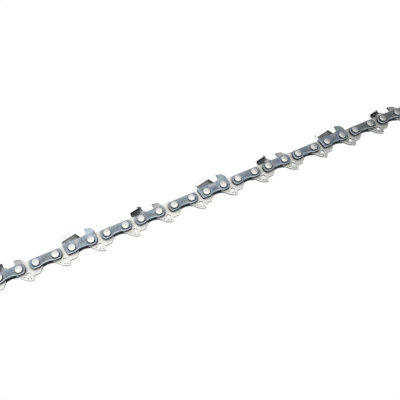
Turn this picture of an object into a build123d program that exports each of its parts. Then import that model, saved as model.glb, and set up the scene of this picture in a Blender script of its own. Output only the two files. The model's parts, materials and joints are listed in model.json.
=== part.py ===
from build123d import *
import os
from math import acos, atan2, cos, hypot, radians, sin, sqrt, tan

# A stretch of low-profile saw chain that lies flat on the sides of its cutters. X runs along the chain in the
# direction of cutting, Y points from the tangs to the cutting edges, and Z is the axis of every rivet.

# Chain layout, mm: a group is two side plates and the two rivets that join them, with a drive link at each end
GROUPS = 13
STRAP_PITCH = 9.98
LINK_PITCH = 8.66
FIRST_FAR_CUTTER = 1
FIRST_NEAR_CUTTER = 3
CUTTER_REPEAT = 4

# Thicknesses and clearances across the chain
GAUGE = 1.3
PLATE = 1.2
SIDE_GAP = 0.05
BORE_GAP = 0.05
SEAT_GAP = 0.01

# Rivets: a plain shank and two spun heads
SHANK_R = 1.4
HEAD_R = 1.95
CROWN_R = 1.6
HEAD_RISE = 0.75

# Drive link: round ends, a raked tang with a narrow toe, and a step in front of the toe
LOBE_R = 3.2
TANG_DEPTH = 7.55
TOE_X = 0.55
TOE_FLAT = 1.1
TOE_R = 0.4
BELLY_X = -2.9
BELLY_Y = -6.3
BELLY_R = 2.5
NOTCH_X = 1.35
NOTCH_Y = -5.45
NOTCH_R = 0.6
STEP_X = 4.6
STEP_Y = -5.35
STEP_R = 0.6
CHIN_X = 6.3
CHIN_Y = -3.6
CHIN_R = 0.8
OIL_HOLE_R = 1.05
OIL_HOLE_X = -0.8
OIL_HOLE_Y = -4.0

# Side plates: round ends, a straight back, straight feet and a hollow waist between them
STRAP_REACH = 3.3
BACK_Y = 2.7
FOOT_Y = -2.8
WAIST_Y = -1.85
WAIST_HALF = 3.8

# Cutter base: a square heel at the rear and a level top under tooth and depth gauge
HEEL_REACH = 3.1
HEEL_LEAN = 0.9
BASE_TOP_Y = 3.4

# Depth gauge: stands over the front rivet and leans out of the base
GAUGE_FOOT_X = 1.2
GAUGE_REAR_X = 4.0
GAUGE_REAR_Y = 4.3
GAUGE_REAR_R = 1.2
GAUGE_TIP_X = 3.8
GAUGE_TIP_Y = 7.1
GAUGE_NOSE_X = 7.0
GAUGE_NOSE_Y = 6.2
GAUGE_NOSE_R = 1.4
GAUGE_FRONT_Y = 4.2
GAUGE_LEAN = 10.0

# Tooth: a side plate that flares out of the base and a top plate bent over the drive links
TOOTH_TIP_X = -1.3
TOOTH_LENGTH = 7.3
TOOTH_TOP_Y = 8.5
TOOTH_FALL = 10.0
TOOTH_ROOT = 1.0
KERF_HALF = 2.95
SIDE_RELIEF = 2.5
SIDE_RISE = 2.7
TOP_PLATE = 1.1
TOP_REACH = 0.4
BEND_R = 0.8
FILE_R = 2.0
FILE_ABOVE = 0.8
FILE_ANGLE = 35.0
GULLET_SLOPE = 42.0
GULLET_REACH = 3.2

# Derived places
PITCH = STRAP_PITCH + LINK_PITCH
PLATE_IN = GAUGE / 2 + SIDE_GAP
PLATE_OUT = PLATE_IN + PLATE
HOLE_R = SHANK_R + SEAT_GAP
BORE_R = SHANK_R + BORE_GAP
RIVETS_X = (-STRAP_PITCH / 2, STRAP_PITCH / 2)
STRAP_END = STRAP_PITCH / 2 + STRAP_REACH
HEEL_X = -STRAP_PITCH / 2 - HEEL_REACH
WAIST_RISE = WAIST_Y - FOOT_Y
WAIST_R = (WAIST_HALF ** 2 + WAIST_RISE ** 2) / (2 * WAIST_RISE)


def outline(corners):
    """Closed face through (x, y, corner radius) points."""
    path = FilletPolyline([(x, y) for x, y, r in corners], radius=[r for x, y, r in corners], close=True)
    return make_face(path)


def tangent_point(centre_x, radius, x, y, side):
    """Where a line from (x, y) touches a circle on the rivet line; side picks which of the two points."""
    bearing = atan2(y, x - centre_x)
    spread = side * acos(radius / hypot(x - centre_x, y))
    return centre_x + radius * cos(bearing + spread), radius * sin(bearing + spread)


def drive_link():
    """Centre link with its tang, two rivet bores and an oil hole, centred between its rivets."""
    half = LINK_PITCH / 2
    rear = tangent_point(-half, LOBE_R, BELLY_X, BELLY_Y, -1)
    front = tangent_point(half, LOBE_R, CHIN_X, CHIN_Y, 1)
    tang = outline([
        (-half, 0, 0),
        (*rear, 0),
        (BELLY_X, BELLY_Y, BELLY_R),
        (TOE_X - TOE_FLAT, -TANG_DEPTH, TOE_R),
        (TOE_X, -TANG_DEPTH, TOE_R),
        (NOTCH_X, NOTCH_Y, NOTCH_R),
        (STEP_X, STEP_Y, STEP_R),
        (CHIN_X, CHIN_Y, CHIN_R),
        (*front, 0),
        (half, 0, 0),
    ])
    face = SlotCenterToCenter(LINK_PITCH, 2 * LOBE_R) + tang
    face -= [Pos(x, 0) * Circle(BORE_R) for x in (-half, half)]
    face -= Pos(OIL_HOLE_X, OIL_HOLE_Y) * Circle(OIL_HOLE_R)
    return extrude(face, GAUGE / 2, both=True)


def side_plate(face):
    """Cut a side plate's outline along its feet, hollow its waist, punch it and thicken it, on the near side."""
    spare = 2 * STRAP_REACH
    feet = Pos(Y=FOOT_Y) * Rectangle(4 * STRAP_END, spare, align=(Align.CENTER, Align.MAX))
    waist = Pos(Y=WAIST_Y - WAIST_R) * Circle(WAIST_R)
    holes = [Pos(x, 0) * Circle(HOLE_R) for x in RIVETS_X]
    return Pos(Z=PLATE_IN) * extrude(face - feet - waist - holes, PLATE)


def tie_strap():
    """Plain side plate, centred between its rivets."""
    back = Pos(Y=BACK_Y) * Rectangle(4 * STRAP_END, STRAP_REACH, align=(Align.CENTER, Align.MIN))
    return side_plate(SlotCenterToCenter(STRAP_PITCH, 2 * STRAP_REACH) - back)


def depth_gauge():
    """Depth gauge over the front rivet, bent outwards along the top of the base."""
    face = outline([
        (GAUGE_FOOT_X, BASE_TOP_Y, 0),
        (GAUGE_REAR_X, GAUGE_REAR_Y, GAUGE_REAR_R),
        (GAUGE_TIP_X, GAUGE_TIP_Y, 0),
        (GAUGE_NOSE_X, GAUGE_NOSE_Y, GAUGE_NOSE_R),
        (STRAP_END, GAUGE_FRONT_Y, 0),
        (STRAP_END, BASE_TOP_Y, 0),
    ])
    upright = Pos(Y=-BASE_TOP_Y) * extrude(face, PLATE)
    return Pos(0, BASE_TOP_Y, PLATE_IN) * Rot(X=GAUGE_LEAN) * upright


def tooth_section(x, top_y, kerf_half):
    """Section of the tooth across the chain at x: flared side plate, bend and top plate."""
    across = Plane((x, 0, 0), x_dir=(0, 0, 1), z_dir=(-1, 0, 0))
    root_y = BASE_TOP_Y - TOOTH_ROOT
    under_y = top_y - TOP_PLATE
    fold_y = top_y - SIDE_RISE
    return across * outline([
        (PLATE_OUT, root_y, 0),
        (PLATE_OUT, BASE_TOP_Y, 0),
        (kerf_half, fold_y, 0),
        (kerf_half, top_y, BEND_R),
        (-TOP_REACH, top_y, 0),
        (-TOP_REACH, under_y, 0),
        (kerf_half - PLATE, under_y, 0),
        (kerf_half - PLATE, fold_y, 0),
        (PLATE_IN, BASE_TOP_Y, 0),
        (PLATE_IN, root_y, 0),
    ])


def file_space():
    """What a round file and the gullet's slope below it take out in front of the cutting edge."""
    above = FILE_R - FILE_ABOVE
    behind = sqrt(FILE_R ** 2 - above ** 2)
    axis_x = TOOTH_TIP_X + behind / cos(radians(FILE_ANGLE))
    room = 2 * TOOTH_LENGTH + 4 * KERF_HALF
    slope = radians(GULLET_SLOPE)
    touch_x, touch_y = -FILE_R * cos(slope), -FILE_R * sin(slope)
    gullet = make_face(Polyline(
        (0, room),
        (0, touch_y),
        (touch_x, touch_y),
        (touch_x + room * sin(slope), touch_y - room * cos(slope)),
        (2 * room, touch_y - room * cos(slope)),
        (2 * room, room),
        close=True,
    ))
    cut = Cylinder(FILE_R, room) + extrude(gullet, room / 2, both=True)
    return Pos(axis_x, TOOTH_TOP_Y - above, KERF_HALF) * Rot(Y=FILE_ANGLE) * cut


def tooth():
    """Tooth that falls and narrows from its filed front to its rear, so that only the edge cuts."""
    fall = tan(radians(TOOTH_FALL))
    relief = tan(radians(SIDE_RELIEF))
    rear_x = TOOTH_TIP_X - TOOTH_LENGTH
    front_x = TOOTH_TIP_X + GULLET_REACH
    rear = tooth_section(rear_x, TOOTH_TOP_Y - TOOTH_LENGTH * fall, KERF_HALF - TOOTH_LENGTH * relief)
    front = tooth_section(front_x, TOOTH_TOP_Y + GULLET_REACH * fall, KERF_HALF + GULLET_REACH * relief)
    return loft([rear, front], ruled=True) - file_space()


def cutter():
    """Cutting link, centred between its rivets: base plate, depth gauge and tooth in one piece."""
    heel = outline([
        (HEEL_X - HEEL_LEAN, BASE_TOP_Y, 0),
        (STRAP_END, BASE_TOP_Y, 0),
        (STRAP_END, 0, 0),
        (RIVETS_X[1], FOOT_Y, 0),
        (HEEL_X, FOOT_Y, 0),
    ])
    base = side_plate(heel + SlotCenterToCenter(STRAP_PITCH, 2 * STRAP_REACH))
    return base + depth_gauge() + tooth()


def rivet():
    """One rivet about its own axis, through both side plates and a drive link."""
    shank = Cylinder(SHANK_R, 2 * PLATE_OUT)
    head = Pos(Z=PLATE_OUT) * Cone(HEAD_R, CROWN_R, HEAD_RISE, align=(Align.CENTER, Align.CENTER, Align.MIN))
    return shank + head + mirror(head, about=Plane.XY)


def has_cutter(group, first):
    """Whether a group carries a cutter of the series that starts at group first."""
    return group >= first and (group - first) % CUTTER_REPEAT == 0


link_form = drive_link()
strap_form = tie_strap()
cutter_form = cutter()
rivet_pair = Compound([Pos(x) * rivet() for x in RIVETS_X])

# The chain lies on its lowest side, with the middle of its depth over the origin
top_y = cutter_form.bounding_box().max.Y
bottom_y = link_form.bounding_box().min.Y
lift = max(cutter_form.bounding_box().max.Z, rivet_pair.bounding_box().max.Z)
RIVET_LINE = Pos(0, -(top_y + bottom_y) / 2, lift)


def save(name, shape, x):
    """Write one node, moved to its place along the chain."""
    export_step(RIVET_LINE * Pos(x) * shape, f"parts/{name}.step")


os.makedirs("parts", exist_ok=True)

for number in range(1, GROUPS + 2):
    save(f"drive_link_{number:02d}", link_form, (number - 1 - GROUPS / 2) * PITCH)

for group in range(1, GROUPS + 1):
    x = (group - (GROUPS + 1) / 2) * PITCH
    near_cuts = has_cutter(group, FIRST_NEAR_CUTTER)
    far_cuts = has_cutter(group, FIRST_FAR_CUTTER)
    near_name = "near_cutter" if near_cuts else "near_tie_strap"
    far_name = "far_cutter" if far_cuts else "far_tie_strap"
    near_form = cutter_form if near_cuts else strap_form
    far_form = cutter_form if far_cuts else strap_form
    save(f"{near_name}_{group:02d}", near_form, x)
    save(f"{far_name}_{group:02d}", mirror(far_form, about=Plane.XY), x)
    save(f"rivets_{group:02d}", rivet_pair, x)
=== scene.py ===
import json
import logging
import math
from dataclasses import dataclass
from enum import Enum
from typing import Any

import bmesh
import bpy
from mathutils import Matrix, Vector


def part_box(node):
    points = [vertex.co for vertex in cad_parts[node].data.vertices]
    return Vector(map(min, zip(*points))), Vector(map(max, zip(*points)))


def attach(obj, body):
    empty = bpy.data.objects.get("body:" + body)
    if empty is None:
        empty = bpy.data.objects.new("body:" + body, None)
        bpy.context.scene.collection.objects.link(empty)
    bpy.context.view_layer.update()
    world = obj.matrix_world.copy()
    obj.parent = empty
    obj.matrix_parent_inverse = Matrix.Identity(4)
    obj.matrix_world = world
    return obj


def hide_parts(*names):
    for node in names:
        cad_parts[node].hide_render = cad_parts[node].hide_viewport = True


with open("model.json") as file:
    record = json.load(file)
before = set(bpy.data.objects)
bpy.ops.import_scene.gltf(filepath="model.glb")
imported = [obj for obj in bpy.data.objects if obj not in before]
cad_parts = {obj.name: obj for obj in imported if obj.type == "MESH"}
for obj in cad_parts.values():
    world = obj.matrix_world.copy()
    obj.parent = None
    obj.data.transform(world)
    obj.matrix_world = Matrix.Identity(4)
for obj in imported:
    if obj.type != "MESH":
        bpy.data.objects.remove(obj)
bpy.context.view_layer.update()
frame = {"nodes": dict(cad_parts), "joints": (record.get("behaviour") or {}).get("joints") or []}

log = logging.getLogger("saw_chain")

Tree = bpy.types.NodeTree
Socket = bpy.types.NodeSocket

MM = 0.001

# Meshing: points this close and faces this flat are one, and edges steeper than this are keen
MERGE = 0.001 * MM
FLAT_ANGLE = math.radians(1.0)
EDGE_ANGLE = math.radians(38.0)
ROUND_PROFILE = 0.5
# How much more a large face counts than a small one where shading is smooth
FLAT_WEIGHT = 80

# Parts of the noise's range over which patches change tone, flecks and scuffs show and plates change colour
PATCH_SPAN = (0.30, 0.70)
FLECK_SPAN = (0.40, 0.62)
SCUFF_SPAN = (0.50, 0.70)
DRIFT_SPAN = (0.42, 0.62)
# A cloud is cut from another part of the noise than the patches below it, and is rougher
CLOUD_SHIFT = (7.3, 2.1, 4.7)
CLOUD_DETAIL = 3.0
CLOUD_ROUGHNESS = 0.6
DRIFT_DETAIL = 1.0
SCUFF_TONE = "#14171A"
# Sockets of a colour mix, by number because its other kinds have sockets of the same names
MIX_SHARE = 0
MIX_UNDER = 6
MIX_OVER = 7
MIX_RESULT = 2


class Side(Enum):
    """The two sides of the chain: near is up as it lies, far is on the floor."""

    NEAR = 1
    FAR = -1


class PlateFace(Enum):
    """The differently finished surfaces of a side plate, in the order of its material slots."""

    FLAT = 0
    ROLLED_EDGE = 1
    SHEARED_WALL = 2
    INNER = 3
    FLARE = 4
    CHROME = 5
    LINING = 6
    UNDERSIDE = 7
    GROUND = 8
    GAUGE_BACK = 9


class LinkFace(Enum):
    """The differently finished surfaces of a drive link, in the order of its material slots."""

    FLAT = 0
    SHEARED_WALL = 1


class RivetFace(Enum):
    """The differently finished surfaces of a rivet, in the order of its material slots."""

    CROWN = 0
    WALL = 1


class Curve(Enum):
    """How a fade goes from one level to the other."""

    SOFT = "SMOOTHSTEP"
    STRAIGHT = "LINEAR"


@dataclass(frozen=True)
class Layout:
    """Where the chain's pieces lie, read from the frame, in metres."""

    line_y: float
    line_z: float
    first_x: float
    pitch: float
    rivet_half: float
    plate_out: float
    groups: tuple[int, ...]
    links: tuple[int, ...]

    @classmethod
    def from_frame(cls) -> "Layout":
        """Read the rivet line, the pitch and the rivets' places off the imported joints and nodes.

        Returns:
            The layout of the whole stretch.
        """
        line = frame["joints"][0]["pos_m"]
        links = tuple(sorted(int(n[-2:]) for n in frame["nodes"] if n.startswith("drive_link")))
        groups = tuple(sorted(int(n[-2:]) for n in frame["nodes"] if n.startswith("rivets")))
        low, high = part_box(f"rivets_{groups[0]:02d}")
        next_low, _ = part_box(f"rivets_{groups[1]:02d}")
        _, strap_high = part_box(f"near_tie_strap_{groups[0]:02d}")
        return cls(
            line_y=line[1],
            line_z=line[2],
            first_x=(low.x + high.x) / 2,
            pitch=next_low.x - low.x,
            rivet_half=(high.x - low.x) / 2 - (high.y - low.y) / 2,
            plate_out=strap_high.z - line[2],
            groups=groups,
            links=links,
        )

    def group_x(self, group: int) -> float:
        """Find the middle of a group of side plates.

        Args:
            group: The group's number.

        Returns:
            Its place along the chain.
        """
        return self.first_x + (group - self.groups[0]) * self.pitch

    def link_x(self, link: int) -> float:
        """Find the middle of a drive link.

        Args:
            link: The link's number.

        Returns:
            Its place along the chain.
        """
        return self.group_x(link) - self.pitch / 2


LAYOUT = Layout.from_frame()


def srgb(code: str) -> tuple[float, float, float, float]:
    """Turn an sRGB hex colour into linear values.

    Args:
        code: Six hex digits after a hash sign.

    Returns:
        Linear red, green, blue and an alpha of 1.
    """
    def linear(value: float) -> float:
        """Undo the curve of the sRGB standard.

        Args:
            value: One channel, from 0 to 1.

        Returns:
            The linear channel.
        """
        return value / 12.92 if value <= 0.04045 else ((value + 0.055) / 1.055) ** 2.4

    channels = [int(code[i:i + 2], 16) / 255 for i in (1, 3, 5)]
    return (*[linear(c) for c in channels], 1.0)


def add_node(
    tree: Tree,
    kind: str,
    sockets: dict[str | int, Any] | None = None,
    **settings: Any,
) -> bpy.types.Node:
    """Add a node, set it up and link it.

    Args:
        tree: The node tree that gets the node.
        kind: The node's type name.
        sockets: Input name or number to a value, or to an output socket that is linked to it.
        settings: Properties of the node itself.

    Returns:
        The new node.
    """
    node = tree.nodes.new(kind)
    for name, value in settings.items():
        setattr(node, name, value)
    for name, value in (sockets or {}).items():
        if isinstance(value, Socket):
            tree.links.new(value, node.inputs[name])
        else:
            node.inputs[name].default_value = value
    return node


def calc(tree: Tree, operation: str, *values: Socket | float) -> Socket:
    """Work out a value from others.

    Args:
        tree: The node tree.
        operation: Name of the sum, as the maths node has it.
        values: What goes into it, in order.

    Returns:
        The result.
    """
    return add_node(tree, "ShaderNodeMath", dict(enumerate(values)), operation=operation).outputs[0]


def fade(
    tree: Tree,
    value: Socket,
    span: tuple[float, float],
    levels: tuple[float, float],
    curve: Curve = Curve.SOFT,
) -> Socket:
    """Go from one level to another while a value crosses a span.

    Args:
        tree: The node tree.
        value: The value to follow.
        span: Where the change starts and where it ends.
        levels: What comes out before and after it.
        curve: How the change goes.

    Returns:
        The level.
    """
    return add_node(tree, "ShaderNodeMapRange", {
        "Value": value,
        "From Min": span[0],
        "From Max": span[1],
        "To Min": levels[0],
        "To Max": levels[1],
    }, interpolation_type=curve.value).outputs["Result"]


def noise(
    tree: Tree,
    place: Socket,
    width_mm: float,
    run: float = 1.0,
    shift: tuple[float, ...] = (0.0, 0.0, 0.0),
    detail: float = 2.0,
    roughness: float = 0.5,
) -> Socket:
    """Draw soft random patches.

    Args:
        tree: The node tree.
        place: Object coordinates.
        width_mm: Width of a patch.
        run: How many times longer a patch is along the chain than across it.
        shift: Which part of the endless noise is taken.
        detail: How many finer layers it has.
        roughness: How strong the finer layers are.

    Returns:
        A value from 0 to 1.
    """
    fine = 1 / (width_mm * MM)
    spread = add_node(tree, "ShaderNodeMapping", {
        "Vector": place, "Scale": (fine / run, fine, fine), "Location": shift,
    })
    return add_node(tree, "ShaderNodeTexNoise", {
        "Vector": spread.outputs["Vector"], "Scale": 1.0, "Detail": detail, "Roughness": roughness,
    }).outputs["Fac"]


def on_first_group(tree: Tree, x: Socket, middle: float, layout: Layout) -> Socket:
    """Bring a place on any group to the same place on the first one.

    Args:
        tree: The node tree.
        x: The place along the chain.
        middle: Middle of the stretch, one pitch long, that takes the places of all groups.
        layout: Where the groups lie.

    Returns:
        The place along that stretch.
    """
    return calc(tree, "WRAP", x, middle - layout.pitch / 2, middle + layout.pitch / 2)


@dataclass(frozen=True)
class Spot:
    """A soft round mark that comes back on every group of side plates.

    Its places are in mm from the middle of a group and from the rivet line. It is full inside solid_mm and
    gone outside gone_mm. A ragged one is broken up into flecks of ragged_mm.
    """

    tone: str
    at_mm: tuple[tuple[float, float], ...]
    solid_mm: float
    gone_mm: float
    strength: float = 1.0
    ragged_mm: float | None = None

    def share(self, tree: Tree, place: Socket, layout: Layout) -> Socket:
        """How much of the mark shows.

        Args:
            tree: The material's node tree.
            place: Object coordinates.
            layout: Where the groups lie.

        Returns:
            A value, up to strength on the mark and 0 away from it.
        """
        parts = add_node(tree, "ShaderNodeSeparateXYZ", {"Vector": place}).outputs
        nearest = None
        for x_mm, y_mm in self.at_mm:
            x = layout.first_x + x_mm * MM
            along = on_first_group(tree, parts["X"], x, layout)
            flat = add_node(tree, "ShaderNodeCombineXYZ", {"X": along, "Y": parts["Y"]}).outputs[0]
            reach = add_node(tree, "ShaderNodeVectorMath", {
                0: flat,
                1: (x, layout.line_y + y_mm * MM, 0.0),
            }, operation="DISTANCE").outputs["Value"]
            nearest = reach if nearest is None else calc(tree, "MINIMUM", nearest, reach)
        share = fade(tree, nearest, (self.solid_mm * MM, self.gone_mm * MM), (self.strength, 0.0))
        if self.ragged_mm is None:
            return share
        flecks = fade(tree, noise(tree, place, self.ragged_mm), FLECK_SPAN, (0.0, 1.0), Curve.STRAIGHT)
        return calc(tree, "MULTIPLY", share, flecks)


@dataclass(frozen=True)
class Band:
    """A tone that fades across the chain, from full_mm to gone_mm over the rivet line.

    A sloped band climbs towards the front of each group by slope, from its height at the group's middle.
    """

    tone: str
    full_mm: float
    gone_mm: float
    strength: float = 1.0
    slope: float = 0.0

    def share(self, tree: Tree, place: Socket, layout: Layout) -> Socket:
        """How much of the band shows.

        Args:
            tree: The material's node tree.
            place: Object coordinates.
            layout: Where the rivet line is.

        Returns:
            A value, strength where the band is full and 0 where it is gone.
        """
        parts = add_node(tree, "ShaderNodeSeparateXYZ", {"Vector": place}).outputs
        along = on_first_group(tree, parts["X"], layout.first_x, layout)
        climb = calc(tree, "MULTIPLY_ADD", along, -self.slope, layout.first_x * self.slope)
        height = calc(tree, "ADD", parts["Y"], climb)
        span = (layout.line_y + self.full_mm * MM, layout.line_y + self.gone_mm * MM)
        return fade(tree, height, span, (self.strength, 0.0))


@dataclass(frozen=True)
class Drift:
    """A tone that comes and goes slowly along the chain, so that no two plates look quite alike."""

    tone: str
    reach_mm: float
    strength: float
    start: tuple[float, float, float]

    def share(self, tree: Tree, place: Socket, layout: Layout) -> Socket:
        """How much of the tone shows.

        Args:
            tree: The material's node tree.
            place: Object coordinates.
            layout: Where the rivet line is.

        Returns:
            A value from 0 to strength.
        """
        line = (0.0, layout.line_y, layout.line_z)
        from_line = tuple(s - v / (self.reach_mm * MM) for s, v in zip(self.start, line))
        slow = noise(tree, place, self.reach_mm, shift=from_line, detail=DRIFT_DETAIL)
        return fade(tree, slow, DRIFT_SPAN, (0.0, self.strength))


@dataclass(frozen=True)
class Metal:
    """A metal surface: its tones, its gloss, the grain that its making left and its marks.

    The tones lie in soft patches of patch_mm, longer along the chain than across it by patch_run, and grow
    lighter and darker by cloud. Scuffs are dark streaks along the chain, and the grain is finer lines there.
    """

    name: str
    tones: tuple[str, ...]
    roughness: float
    metallic: float = 1.0
    patch_mm: float = 3.5
    patch_run: float = 1.6
    cloud: float = 0.10
    scuff: float = 0.0
    scuff_mm: float = 0.9
    grain_mm: float = 0.25
    grain_run: float = 6.0
    grain_depth_mm: float = 0.004
    roughness_swing: float = 0.06
    marks: tuple[Spot | Band | Drift, ...] = ()

    def material(self, layout: Layout) -> bpy.types.Material:
        """Build the material once, and hand out the same one after that.

        Args:
            layout: Where the pieces lie, for marks that follow them.

        Returns:
            The finished material.
        """
        if self.name in bpy.data.materials:
            return bpy.data.materials[self.name]
        material = bpy.data.materials.new(self.name)
        material.use_nodes = True
        tree = material.node_tree
        tree.nodes.clear()
        place = add_node(tree, "ShaderNodeTexCoord").outputs["Object"]
        colour = self.patches(tree, place)
        streaks = noise(tree, place, self.scuff_mm, run=self.grain_run)
        scuffs = fade(tree, streaks, SCUFF_SPAN, (0.0, self.scuff), Curve.STRAIGHT)
        colour = self.lay(tree, scuffs, colour, SCUFF_TONE)
        for mark in self.marks:
            colour = self.lay(tree, mark.share(tree, place, layout), colour, mark.tone)
        grain = noise(tree, place, self.grain_mm, run=self.grain_run)
        swing = (self.roughness - self.roughness_swing, self.roughness + self.roughness_swing)
        bump = add_node(tree, "ShaderNodeBump", {"Height": grain, "Distance": self.grain_depth_mm * MM})
        shader = add_node(tree, "ShaderNodeBsdfPrincipled", {
            "Base Color": colour,
            "Metallic": self.metallic,
            "Roughness": fade(tree, grain, (0.0, 1.0), swing, Curve.STRAIGHT),
            "Normal": bump.outputs["Normal"],
        })
        add_node(tree, "ShaderNodeOutputMaterial", {"Surface": shader.outputs["BSDF"]})
        return material

    def patches(self, tree: Tree, place: Socket) -> Socket:
        """Lay the tones in soft patches, with a light and dark cloud over them.

        Args:
            tree: The material's node tree.
            place: Object coordinates.

        Returns:
            The colour.
        """
        spread = noise(tree, place, self.patch_mm, run=self.patch_run)
        ramp = add_node(tree, "ShaderNodeValToRGB", {"Fac": spread})
        stops = ramp.color_ramp.elements
        first, last = PATCH_SPAN
        while len(stops) < len(self.tones):
            stops.new((first + last) / 2)
        for i, tone in enumerate(self.tones):
            stops[i].position = first + (last - first) * i / max(1, len(self.tones) - 1)
            stops[i].color = srgb(tone)
        cloud = noise(
            tree, place, self.patch_mm, shift=CLOUD_SHIFT, detail=CLOUD_DETAIL, roughness=CLOUD_ROUGHNESS,
        )
        level = fade(tree, cloud, PATCH_SPAN, (1.0 - self.cloud, 1.0 + self.cloud), Curve.STRAIGHT)
        lit = add_node(tree, "ShaderNodeVectorMath", {
            0: ramp.outputs["Color"], "Scale": level,
        }, operation="SCALE")
        return lit.outputs["Vector"]

    @staticmethod
    def lay(tree: Tree, share: Socket, under: Socket, tone: str) -> Socket:
        """Lay a tone over a colour.

        Args:
            tree: The material's node tree.
            share: How much of the tone shows.
            under: The colour below it.
            tone: The tone's hex code.

        Returns:
            The mixed colour.
        """
        sockets = {MIX_SHARE: share, MIX_UNDER: under, MIX_OVER: srgb(tone)}
        return add_node(tree, "ShaderNodeMix", sockets, data_type="RGBA").outputs[MIX_RESULT]


RIVET_MM = LAYOUT.rivet_half / MM
RIVETS_MM = ((-RIVET_MM, 0.0), (RIVET_MM, 0.0))
RING_DROP_MM = -0.25

# Painted shade round each rivet head, where the head shades the plate: a dark ring, broader on the side of
# the tangs
RIVET_SHADE_RING = Spot("#15191D", ((-RIVET_MM, RING_DROP_MM), (RIVET_MM, RING_DROP_MM)), 1.95, 2.3, 0.75)
# Painted shade where plates meet links: near-black walls at the plates' ends, and a grey rim on the links
END_WALL_SHADE = Spot("#07090B", RIVETS_MM, 3.7, 4.7, 0.9)
LINK_CONTACT_SHADE = Spot("#3A3E41", RIVETS_MM, 3.25, 4.9, 0.36)
# Painted highlights: a pale line along the waist, and a back that is a little paler than the rest
WAIST_HIGHLIGHT = Spot("#C3D2DC", ((-1.8, -1.6), (0.0, -1.45), (1.8, -1.6)), 0.15, 0.85, 0.25)
BACK_PAINTED_LIGHT = Band("#B6C0C2", 2.2, -0.6, 0.22)
# A dark smudge on the middle of each plate, and pale dust in the gullet of each cutter
SMUDGE = Spot("#343E48", ((-0.8, 0.0), (0.6, 0.3)), 0.3, 1.3, 0.42, ragged_mm=0.8)
GULLET_DUST = Spot("#E2DFD0", ((-1.6, 2.6), (-0.3, 2.7), (1.0, 2.3)), 0.2, 1.6, 0.8, ragged_mm=1.1)
# Temper colour on the depth gauge: a touch of teal
TEAL_GAUGE = Spot("#8B9F9F", ((5.0, 5.4),), 0.8, 2.6, 0.6)
# The tooth's flare: darker along its foot, its top and its front
FLARE_FOOT = Band("#232526", 3.4, 4.0, 0.9)
FLARE_TOP = Band("#1E2020", 6.05, 5.0, 0.85, slope=0.176)
FLARE_FRONT = Spot("#1A1C1C", ((0.2, 4.4), (-0.6, 5.2)), 0.6, 2.0, 0.85)
# Painted shade along the foot of the gauge's back, where the plates shade it, and darker along its top
GAUGE_FOOT_SHADE = Band("#5C5E60", 3.4, 4.4, 0.5)
GAUGE_TOP = Band("#575957", 8.1, 7.2, 0.75, slope=-0.28)
# Temper colours that differ from plate to plate: some grey, some with violet
GREY_PLATES = Drift("#888D89", 24.0, 0.75, (4.6, 0.0, 0.0))
VIOLET_PLATES = Drift("#7C86A4", 8.0, 0.4, (5.1, 3.0, 1.0))

# Carbon steel, blued by tempering: satin blue-grey with violet, teal and grey patches
# Its dark scuffs are drawn wider than real ones, so that they show
BLUED_STEEL = Metal(
    "blued_spring_steel", ("#74838F", "#83999F", "#97A5AC", "#9497A6", "#A3AFB1", "#939894"), 0.34,
    cloud=0.28, scuff=0.25,
    # Its marks paint light as well: a paler back, a highlight along the waist and shade round the rivet
    # heads
    marks=(VIOLET_PLATES, GREY_PLATES, BACK_PAINTED_LIGHT, SMUDGE, WAIST_HIGHLIGHT, RIVET_SHADE_RING),
)
CUTTER_STEEL = Metal(
    "blued_cutter_steel", ("#89979F", "#97A8B0", "#A9B8BC", "#A3A6B3", "#B8C2C3", "#A7ADA8"), 0.32,
    cloud=0.26, scuff=0.2,
    # Its marks paint light as well: a highlight along the waist and shade round the rivet heads
    marks=(VIOLET_PLATES, SMUDGE, WAIST_HIGHLIGHT, GULLET_DUST, TEAL_GAUGE, RIVET_SHADE_RING),
)
# Painted highlight on the gentle part of a pressed plate's rolled edge, all round but its back
EDGE_HIGHLIGHT = Metal("plate_edge_highlight", ("#A9B4BC", "#C2CBD0"), 0.35, grain_depth_mm=0.002)
# The sheared wall of a blued plate: rough and dark, with a near-black painted shade at its ends where the
# links meet it
SHEARED_EDGE = Metal(
    "blued_sheared_edge", ("#44535F", "#60707D"), 0.5, grain_depth_mm=0.006, marks=(END_WALL_SHADE,),
)
# The inner face of a side plate, and the walls of those on the floor side: near black, painted shade over
# oily steel
INNER_SHADE = Metal("inner_face_shade", ("#1E2A33", "#303E49"), 0.45)
# Bright tumbled steel of the drive links, with a faint straw tint, grey in its sheared walls, and painted
# shade round the rivets
LINK_STEEL = Metal("bright_link_steel", ("#E4E4E0", "#EDEEEA", "#F0EEE8"), 0.32, marks=(LINK_CONTACT_SHADE,))
LINK_WALL = Metal("link_sheared_wall", ("#3C3D3B", "#4E4F4C"), 0.45)
# Grey forging scale on the tooth's flare, and white satin hard chrome above it
TOOTH_FLARE = Metal(
    "scaled_tooth_flare", ("#6B6D6B", "#818381"), 0.4, cloud=0.2, scuff=0.3,
    marks=(FLARE_FOOT, FLARE_TOP, FLARE_FRONT),
)
TOOTH_CHROME = Metal(
    "satin_hard_chrome", ("#E9EAEA", "#F6F7F7"), 0.45, metallic=0.15, cloud=0.04, grain_depth_mm=0.001,
)
# Inside the tooth: grey scale on its side, and under its top a near-black painted shade
TOOTH_LINING = Metal("tooth_lining_scale", ("#606264", "#7A7C7D"), 0.5)
TOOTH_UNDERSIDE_SHADE = Metal("tooth_underside_shade", ("#1F2123", "#2E3032"), 0.5)
# The filed front of the tooth: smooth dark steel
GROUND_STEEL = Metal("ground_edge_steel", ("#353736", "#575957"), 0.3)
# The back of a depth gauge: plain grey where no blueing took
GAUGE_BACK_STEEL = Metal("grey_gauge_back", ("#CDCFCD", "#DADBD9"), 0.38, marks=(GAUGE_FOOT_SHADE, GAUGE_TOP))
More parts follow.
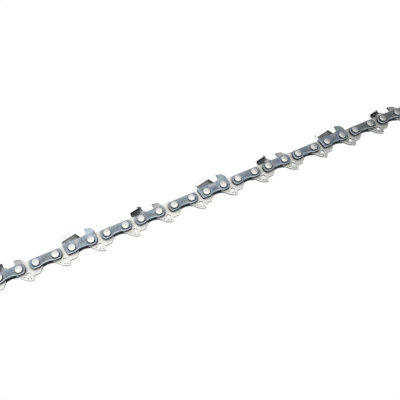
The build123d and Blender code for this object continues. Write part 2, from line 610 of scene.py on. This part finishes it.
# Spun heads: the brightest metal on the chain, with a near-black painted shade on their walls
RIVET_STEEL = Metal("spun_rivet_steel", ("#EAEBE9", "#F5F5F2"), 0.3, patch_mm=1.6, grain_depth_mm=0.002)
RIVET_WALL_SHADE = Metal("rivet_wall_shade", ("#1F2327", "#33383C"), 0.45)
# Punch marks on the tangs: dull and dark
PUNCH_MARK = Metal("dark_punch_mark", ("#2B2B2A", "#3B3B39"), 0.55, patch_mm=1.0)


@dataclass
class Workshop:
    """Turns CAD nodes into finished pieces and places them."""

    layout: Layout

    def blank(self, node: str) -> bmesh.types.BMesh:
        """Copy a CAD node's mesh with its points merged and its flat faces whole.

        Args:
            node: Name of the CAD node.

        Returns:
            A bmesh of the node where it lies.
        """
        mesh = bmesh.new()
        mesh.from_mesh(frame["nodes"][node].data)
        bmesh.ops.remove_doubles(mesh, verts=mesh.verts, dist=MERGE)
        bmesh.ops.dissolve_limit(mesh, angle_limit=FLAT_ANGLE, verts=mesh.verts, edges=mesh.edges)
        return mesh

    def place(
        self,
        mesh: bmesh.types.BMesh,
        name: str,
        body: str,
        slot: str,
        finishes: tuple[Metal, ...],
    ) -> bpy.types.Object:
        """Make an object of a bmesh, dress it and let it ride.

        Args:
            mesh: The finished shape, which is freed.
            name: The piece's name.
            body: The body it moves with.
            slot: The record's material slot that it belongs to; not used.
            finishes: The piece's materials, in slot order.

        Returns:
            The new object.
        """
        for face in mesh.faces:
            face.smooth = True
        for edge in mesh.edges:
            edge.smooth = not self.is_keen(edge)
        data = bpy.data.meshes.new(name)
        mesh.to_mesh(data)
        mesh.free()
        cad_normals = data.attributes.get("custom_normal")
        if cad_normals:
            data.attributes.remove(cad_normals)
        for finish in finishes:
            data.materials.append(finish.material(self.layout))
        piece = bpy.data.objects.new(name, data)
        bpy.context.scene.collection.objects.link(piece)
        weighted = piece.modifiers.new("flat_faces", "WEIGHTED_NORMAL")
        weighted.weight = FLAT_WEIGHT
        weighted.keep_sharp = True
        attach(piece, body)
        log.info("%s rides on %s with %d faces", name, body, len(data.polygons))
        return piece

    @staticmethod
    def is_keen(edge: bmesh.types.BMEdge) -> bool:
        """Tell whether an edge turns so sharply that its two faces are shaded apart.

        Args:
            edge: An edge of a piece.

        Returns:
            True for a keen edge.
        """
        return edge.is_manifold and edge.calc_face_angle() > EDGE_ANGLE

    @staticmethod
    def roll(
        mesh: bmesh.types.BMesh,
        edges: list[bmesh.types.BMEdge],
        width: float,
        steps: int,
        finish: int,
    ) -> None:
        """Round edges as pressing and tumbling do.

        Args:
            mesh: The blank.
            edges: The edges to round.
            width: How far the round reaches from each edge.
            steps: Number of faces across the round.
            finish: Material slot of the round.
        """
        bmesh.ops.bevel(
            mesh, geom=edges, offset=width, offset_type="OFFSET", affect="EDGES", segments=steps,
            profile=ROUND_PROFILE, material=finish, clamp_overlap=False,
        )


@dataclass
class DriveLink:
    """A drive link: bright faces with rolled edges, grey walls and punch marks along the tang.

    A face counts as a wall where less than wall_turn of its normal points along the rivets.
    """

    number: int
    roll: float = 0.18 * MM
    roll_steps: int = 2
    wall_turn: float = 0.5
    mark_radius: float = 0.28 * MM
    mark_rim: float = 0.05 * MM
    mark_rise: float = 0.018 * MM
    mark_steps: int = 16
    marks_mm: tuple[tuple[float, float], ...] = ((-3.3, -4.6), (-1.7, -6.0), (-0.35, -6.6))

    @property
    def node(self) -> str:
        """The CAD node of this link."""
        return f"drive_link_{self.number:02d}"

    @property
    def body(self) -> str:
        """The body that this link moves with."""
        return f"link_{self.number:02d}"

    def build(self, shop: Workshop) -> None:
        """Make the link and its marks.

        Args:
            shop: Where pieces are made.
        """
        mesh = shop.blank(self.node)
        for face in mesh.faces:
            upright = abs(face.normal.z) < self.wall_turn
            face.material_index = (LinkFace.SHEARED_WALL if upright else LinkFace.FLAT).value
        rims = [e for e in mesh.edges if shop.is_keen(e)]
        shop.roll(mesh, rims, self.roll, self.roll_steps, LinkFace.FLAT.value)
        piece = shop.place(mesh, f"{self.node}_finished", self.body, "link_steel", (LINK_STEEL, LINK_WALL))
        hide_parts(self.node)
        self.build_marks(shop)

    def build_marks(self, shop: Workshop) -> None:
        """Punch a few plain marks along the tang's lower edge, on both faces.

        Args:
            shop: Where pieces are made.
        """
        low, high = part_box(self.node)
        middle = shop.layout.link_x(self.number)
        mesh = bmesh.new()
        for face_z, turn in ((high.z, 0.0), (low.z, math.pi)):
            for x, y in self.marks_mm:
                place = Matrix.Translation((middle + x * MM, shop.layout.line_y + y * MM, face_z))
                bmesh.ops.create_cone(
                    mesh, cap_ends=True, segments=self.mark_steps, radius1=self.mark_radius + self.mark_rim,
                    radius2=self.mark_radius - self.mark_rim, depth=2 * self.mark_rise,
                    matrix=place @ Matrix.Rotation(turn, 4, "X"),
                )
        shop.place(mesh, f"{self.node}_punch_marks", self.body, "link_steel", (PUNCH_MARK,))


@dataclass
class SidePlate:
    """A side plate of one group: a plain tie strap or a cutter.

    The limits that tell its surfaces apart are measured from the middle of the group on the rivet line.
    Those named turn say how much of a face's normal has to point a certain way.
    """

    group: int
    side: Side
    cutter: bool
    near_roll: float = 0.36 * MM
    far_roll: float = 0.12 * MM
    roll_steps: int = 4
    mid_plate: float = 1.3 * MM
    hole_reach: float = 1.6 * MM
    base_top: float = 3.4 * MM
    gauge_rear: float = 4.1 * MM
    gauge_slack: float = 0.48 * MM
    tooth_front: float = 1.15 * MM
    slack: float = 0.12 * MM
    flat_turn: float = 0.6
    front_turn: float = 0.35
    under_turn: float = 0.7
    inner_turn: float = 0.3
    lining_turn: float = 0.97
    flare_turn: float = 0.15
    gentle_turn: float = 0.62
    back_turn: float = 0.3

    @property
    def node(self) -> str:
        """The CAD node of this plate."""
        return f"{self.side.name.lower()}_{'cutter' if self.cutter else 'tie_strap'}_{self.group:02d}"

    @property
    def body(self) -> str:
        """The body that this plate moves with."""
        return f"group_{self.group:02d}"

    def local(self, point: Vector, layout: Layout) -> Vector:
        """See a point from the middle of the group, with Z pointing out of the chain.

        Args:
            point: A point in the frame.
            layout: Where the group lies.

        Returns:
            The point from the middle of the group on the rivet line.
        """
        out = (point.z - layout.line_z) * self.side.value
        return Vector((point.x - layout.group_x(self.group), point.y - layout.line_y, out))

    def face_kind(self, face: bmesh.types.BMFace, layout: Layout) -> PlateFace:
        """Tell which finish a face of the blank has.

        Args:
            face: A face of the blank.
            layout: Where the group lies.

        Returns:
            The kind of face.
        """
        centre = self.local(face.calc_center_median(), layout)
        outward = face.normal.z * self.side.value
        above_base = self.cutter and centre.y > self.base_top + self.slack
        if above_base and centre.x < self.tooth_front:
            return self.tooth_face_kind(face, centre.z, outward)
        if outward > self.flat_turn:
            return PlateFace.FLAT
        if outward < -self.flat_turn:
            return PlateFace.GAUGE_BACK if above_base else PlateFace.INNER
        return PlateFace.SHEARED_WALL

    def tooth_face_kind(self, face: bmesh.types.BMFace, out: float, outward: float) -> PlateFace:
        """Tell which finish a face of the tooth has.

        Args:
            face: A face of the blank, above the base.
            out: How far its middle lies from the middle of the chain.
            outward: How much it faces out of the chain.

        Returns:
            The kind of face.
        """
        if face.normal.x > self.front_turn:
            return PlateFace.GROUND
        if face.normal.y < -self.under_turn:
            return PlateFace.UNDERSIDE
        if outward < -self.inner_turn and out > 0:
            return PlateFace.LINING if outward < -self.lining_turn else PlateFace.GAUGE_BACK
        if face.normal.y < -self.flare_turn and outward > self.inner_turn:
            return PlateFace.FLARE
        return PlateFace.CHROME

    def is_rolled(self, edge: bmesh.types.BMEdge, layout: Layout) -> bool:
        """Tell whether pressing and tumbling rounded an edge; holes and ground edges stay keen.

        Args:
            edge: An edge of the blank.
            layout: Where the group lies.

        Returns:
            True for an edge to round.
        """
        if not Workshop.is_keen(edge):
            return False
        ends = [self.local(v.co, layout) for v in edge.verts]
        if any(p.z < self.mid_plate for p in ends):
            return False
        if any(math.hypot(abs(p.x) - layout.rivet_half, p.y) < self.hole_reach for p in ends):
            return False
        if not self.cutter:
            return True
        past_rear = any(p.x > self.gauge_rear for p in ends)
        on_gauge = past_rear and all(p.x > self.gauge_rear - self.gauge_slack for p in ends)
        below_top = any(p.y < self.base_top - self.slack for p in ends)
        return on_gauge or (below_top and all(p.y < self.base_top + self.slack for p in ends))

    def roll_kind(self, face: bmesh.types.BMFace) -> PlateFace:
        """Tell which finish a face of a rolled edge has: its gentle part gets a painted highlight, but not
        on the back.

        Args:
            face: A face of the rolled edge.

        Returns:
            The kind of face.
        """
        if abs(face.normal.z) < self.gentle_turn:
            return PlateFace.SHEARED_WALL
        return PlateFace.FLAT if face.normal.y > self.back_turn else PlateFace.ROLLED_EDGE

    def build(self, shop: Workshop) -> None:
        """Make the finished plate.

        Args:
            shop: Where pieces are made.
        """
        layout = shop.layout
        mesh = shop.blank(self.node)
        for face in mesh.faces:
            face.material_index = self.face_kind(face, layout).value
        rims = [e for e in mesh.edges if self.is_rolled(e, layout)]
        width = self.near_roll if self.side is Side.NEAR else self.far_roll
        shop.roll(mesh, rims, width, self.roll_steps, PlateFace.ROLLED_EDGE.value)
        # The roll's gentle faces keep the painted highlight, but not on the back; its steep faces take the
        # wall's finish
        for face in mesh.faces:
            if face.material_index == PlateFace.ROLLED_EDGE.value:
                face.material_index = self.roll_kind(face).value
        flat = CUTTER_STEEL if self.cutter else BLUED_STEEL
        # Walls of the far plates take the near-black painted shade of the inner faces
        wall = SHEARED_EDGE if self.side is Side.NEAR else INNER_SHADE
        finishes = (
            flat, EDGE_HIGHLIGHT, wall, INNER_SHADE, TOOTH_FLARE, TOOTH_CHROME, TOOTH_LINING, TOOTH_UNDERSIDE_SHADE,
            GROUND_STEEL, GAUGE_BACK_STEEL,
        )
        slot = "cutter_steel" if self.cutter else "strap_steel"
        piece = shop.place(mesh, f"{self.node}_finished", self.body, slot, finishes)
        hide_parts(self.node)


@dataclass
class RivetPair:
    """The two rivets of a group, with flat spun heads on both sides.

    A face counts as a wall where less than wall_turn of its normal points along the rivet.
    """

    group: int
    crown_share: float = 0.89
    shank_share: float = 0.72
    dome: float = 0.08 * MM
    shoulder: float = 0.10 * MM
    dome_rows: int = 5
    steps: int = 48
    wall_turn: float = 0.6

    @property
    def node(self) -> str:
        """The CAD node of this pair."""
        return f"rivets_{self.group:02d}"

    @property
    def body(self) -> str:
        """The body that this pair moves with."""
        return f"group_{self.group:02d}"

    def profile(self, half_length: float, head_r: float, plate_out: float) -> list[tuple[float, float]]:
        """Half section of a rivet from pole to pole, as radius and height.

        Args:
            half_length: From the middle of the rivet to the top of its head.
            head_r: Radius of the head where it sits on the plate.
            plate_out: From the middle of the rivet to the plate's outside.

        Returns:
            Points from the upper pole to the lower one.
        """
        crown_r = head_r * self.crown_share
        upper = []
        for row in range(self.dome_rows + 1):
            part = row / self.dome_rows
            upper.append((crown_r * part, half_length - self.dome * part ** 2))
        upper.append((crown_r + self.shoulder, half_length - self.dome - self.shoulder))
        upper.append((head_r, plate_out))
        upper.append((head_r * self.shank_share, plate_out))
        return upper + [(r, -z) for r, z in reversed(upper)]

    def build(self, shop: Workshop) -> None:
        """Spin both rivets and put them in place of the CAD node.

        Args:
            shop: Where pieces are made.
        """
        layout = shop.layout
        low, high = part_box(self.node)
        head_r = (high.y - low.y) / 2
        points = self.profile(high.z - layout.line_z, head_r, layout.plate_out)
        mesh = bmesh.new()
        for x in (low.x + head_r, high.x - head_r):
            axis = Vector((x, layout.line_y, layout.line_z))
            verts = [mesh.verts.new(axis + Vector((r, 0, z))) for r, z in points]
            edges = [mesh.edges.new(pair) for pair in zip(verts, verts[1:])]
            bmesh.ops.spin(
                mesh, geom=[*verts, *edges], cent=axis, axis=(0, 0, 1), angle=math.tau, steps=self.steps,
                use_merge=True,
            )
        bmesh.ops.remove_doubles(mesh, verts=mesh.verts, dist=MERGE)
        bmesh.ops.recalc_face_normals(mesh, faces=mesh.faces)
        # Walls of the heads get a near-black painted shade; their crowns stay bright
        for face in mesh.faces:
            upright = abs(face.normal.z) < self.wall_turn
            face.material_index = (RivetFace.WALL if upright else RivetFace.CROWN).value
        piece = shop.place(mesh, f"{self.node}_spun", self.body, "rivet_steel", (RIVET_STEEL, RIVET_WALL_SHADE))
        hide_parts(self.node)


@dataclass(frozen=True)
class SkyPatch:
    """A soft round part of the sky that is lighter or darker by level.

    It starts where the cosine to its middle is start, and is full from where that cosine is full.
    """

    towards: tuple[float, float, float]
    start: float
    full: float
    level: float

    def share(self, tree: Tree, way: Socket) -> Socket:
        """Find the patch's factor on the sky's brightness.

        Args:
            tree: The world's node tree.
            way: The direction looked in.

        Returns:
            A value, level in the patch and 1 away from it.
        """
        middle = tuple(Vector(self.towards).normalized())
        facing = add_node(tree, "ShaderNodeVectorMath", {0: way, 1: middle}, operation="DOT_PRODUCT")
        return fade(tree, facing.outputs["Value"], (self.start, self.full), (1.0, self.level))


# A room with dim walls on the right, on the left and behind, and a window over the front
DIM_RIGHT = SkyPatch((0.90, 0.15, 0.40), 0.64, 0.88, 0.10)
DIM_LEFT = SkyPatch((-0.90, 0.30, 0.30), 0.35, 0.65, 0.80)
DIM_BACK = SkyPatch((0.10, 0.93, 0.35), 0.62, 0.86, 0.60)
FRONT_WINDOW = SkyPatch((-0.25, -0.35, 0.90), 0.75, 0.95, 2.1)


@dataclass
class Studio:
    """White floor, soft light from all round with dim sides, and the camera."""

    layout: Layout
    floor_size: float = 3.0
    floor_white: float = 0.95
    paper: str = "#F4F4F4"
    white: str = "#FFFFFF"
    sky_level: float = 1.18
    sky_patches: tuple[SkyPatch, ...] = (DIM_RIGHT, DIM_LEFT, DIM_BACK, FRONT_WINDOW)
    camera_from_line: tuple[float, float, float] = (-83.02 * MM, -132.04 * MM, 276.72 * MM)
    camera_turn: tuple[float, float, float] = (28.264, -1.764, -26.126)
    lens: float = 54.0
    clip_start: float = 10 * MM

    def build(self) -> None:
        """Build floor, light and camera."""
        self.build_floor()
        self.build_world()
        self.build_camera()

    def build_floor(self) -> None:
        """Lay a white floor that keeps a faint shadow."""
        mesh = bmesh.new()
        bmesh.ops.create_grid(mesh, x_segments=1, y_segments=1, size=self.floor_size / 2)
        data = bpy.data.meshes.new("floor")
        mesh.to_mesh(data)
        mesh.free()
        data.materials.append(self.paper_material())
        floor = bpy.data.objects.new("floor", data)
        bpy.context.scene.collection.objects.link(floor)

    def paper_material(self) -> bpy.types.Material:
        """Make matt paper that the camera, and metal that mirrors it, sees as nearly white.

        Returns:
            The floor's material.
        """
        material = bpy.data.materials.new("white_paper")
        material.use_nodes = True
        tree = material.node_tree
        tree.nodes.clear()
        rays = add_node(tree, "ShaderNodeLightPath").outputs
        seen = rays["Is Camera Ray"]
        for kind in ("Is Glossy Ray", "Is Transmission Ray"):
            seen = calc(tree, "MAXIMUM", seen, rays[kind])
        share = calc(tree, "MULTIPLY", seen, self.floor_white)
        matt = add_node(tree, "ShaderNodeBsdfDiffuse", {"Color": srgb(self.paper)}).outputs[0]
        glow = {"Color": srgb(self.white), "Strength": 1.0}
        white = add_node(tree, "ShaderNodeEmission", glow).outputs[0]
        paper = add_node(tree, "ShaderNodeMixShader", {0: share, 1: matt, 2: white}).outputs[0]
        add_node(tree, "ShaderNodeOutputMaterial", {"Surface": paper})
        return material

    def build_world(self) -> None:
        """Light the room softly with dim sides, which the metal shows and the camera doesn't see."""
        world = bpy.data.worlds.new("studio")
        bpy.context.scene.world = world
        world.use_nodes = True
        tree = world.node_tree
        tree.nodes.clear()
        way = add_node(tree, "ShaderNodeTexCoord").outputs["Generated"]
        level = self.sky_level
        for patch in self.sky_patches:
            level = calc(tree, "MULTIPLY", patch.share(tree, way), level)
        camera_ray = add_node(tree, "ShaderNodeLightPath").outputs["Is Camera Ray"]
        level = calc(tree, "MAXIMUM", level, camera_ray)
        sky = {"Color": srgb(self.white), "Strength": level}
        light = add_node(tree, "ShaderNodeBackground", sky).outputs[0]
        add_node(tree, "ShaderNodeOutputWorld", {"Surface": light})

    def build_camera(self) -> None:
        """Set up the photograph's view: from above, on the side of the tangs."""
        data = bpy.data.cameras.new("camera")
        data.lens = self.lens
        data.clip_start = self.clip_start
        camera = bpy.data.objects.new("camera", data)
        line = Vector((0.0, self.layout.line_y, self.layout.line_z))
        camera.location = line + Vector(self.camera_from_line)
        camera.rotation_euler = [math.radians(a) for a in self.camera_turn]
        bpy.context.scene.collection.objects.link(camera)
        bpy.context.scene.camera = camera


def main() -> None:
    """Build the chain and its studio."""
    logging.basicConfig(level=logging.INFO, format="%(message)s")
    bpy.context.scene.view_settings.view_transform = "Standard"
    shop = Workshop(LAYOUT)
    for number in LAYOUT.links:
        DriveLink(number).build(shop)
    for group in LAYOUT.groups:
        for side in Side:
            is_cutter = f"{side.name.lower()}_cutter_{group:02d}" in frame["nodes"]
            SidePlate(group, side, is_cutter).build(shop)
        RivetPair(group).build(shop)
    Studio(LAYOUT).build()


if __name__ == "__main__":
    main()
